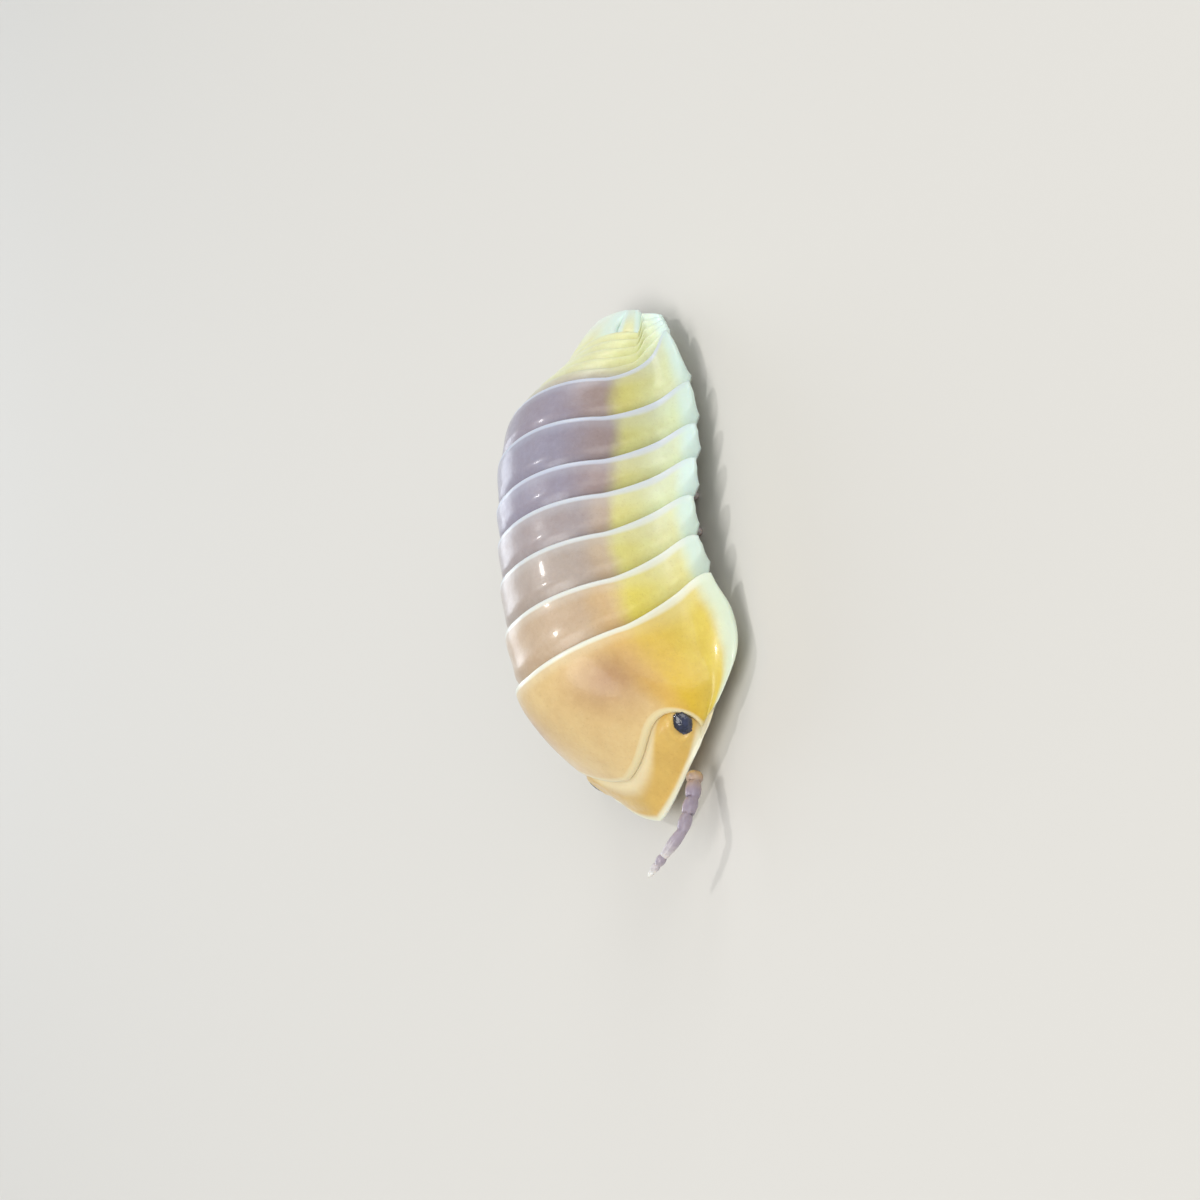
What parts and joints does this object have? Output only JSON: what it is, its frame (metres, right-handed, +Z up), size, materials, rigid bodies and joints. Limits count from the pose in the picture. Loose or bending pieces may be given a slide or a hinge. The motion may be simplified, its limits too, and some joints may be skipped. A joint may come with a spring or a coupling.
{
  "type": "woodlouse",
  "caption": "Still life-size model of a ball-rolling woodlouse standing on its legs, with a steep yellow-edged back of overlapping plates, eyes, feelers and tail.",
  "frame": {"origin": "on the floor, under the middle of the box round the whole animal", "axes": "+Y towards the tail along the body, +X to the animal's left, +Z up"},
  "size_m": [0.0096, 0.019, 0.0052],
  "materials": {
    "head": "glossy tan orange with a pale rim",
    "front_plates": "glossy peach back with strong yellow sides",
    "back_plates": "glossy lilac grey back with lemon sides",
    "tail": "glossy pale lemon with mint edges",
    "underside": "soft satin cream",
    "limb": "satin lilac grey",
    "eye": "wet black"
  },
  "bodies": {
    "root": {"antenna_left": "limb", "antenna_right": "limb", "antenna_tip_left": "limb", "antenna_tip_right": "limb", "belly": "underside", "eye_left": "eye", "eye_right": "eye", "head": "head", "leg_left_1": "limb", "leg_left_2": "limb", "leg_left_3": "limb", "leg_left_4": "limb", "leg_left_5": "limb", "leg_left_6": "limb", "leg_left_7": "limb", "leg_right_1": "limb", "leg_right_2": "limb", "leg_right_3": "limb", "leg_right_4": "limb", "leg_right_5": "limb", "leg_right_6": "limb", "leg_right_7": "limb", "mouthparts": "underside", "pleon": "tail", "pleopods": "underside", "telson": "tail", "tergite_1": "front_plates", "tergite_2": "front_plates", "tergite_3": "front_plates", "tergite_4": "back_plates", "tergite_5": "back_plates", "tergite_6": "back_plates", "tergite_7": "back_plates", "uropod_left": "tail", "uropod_right": "tail"}
  },
  "joints": []
}
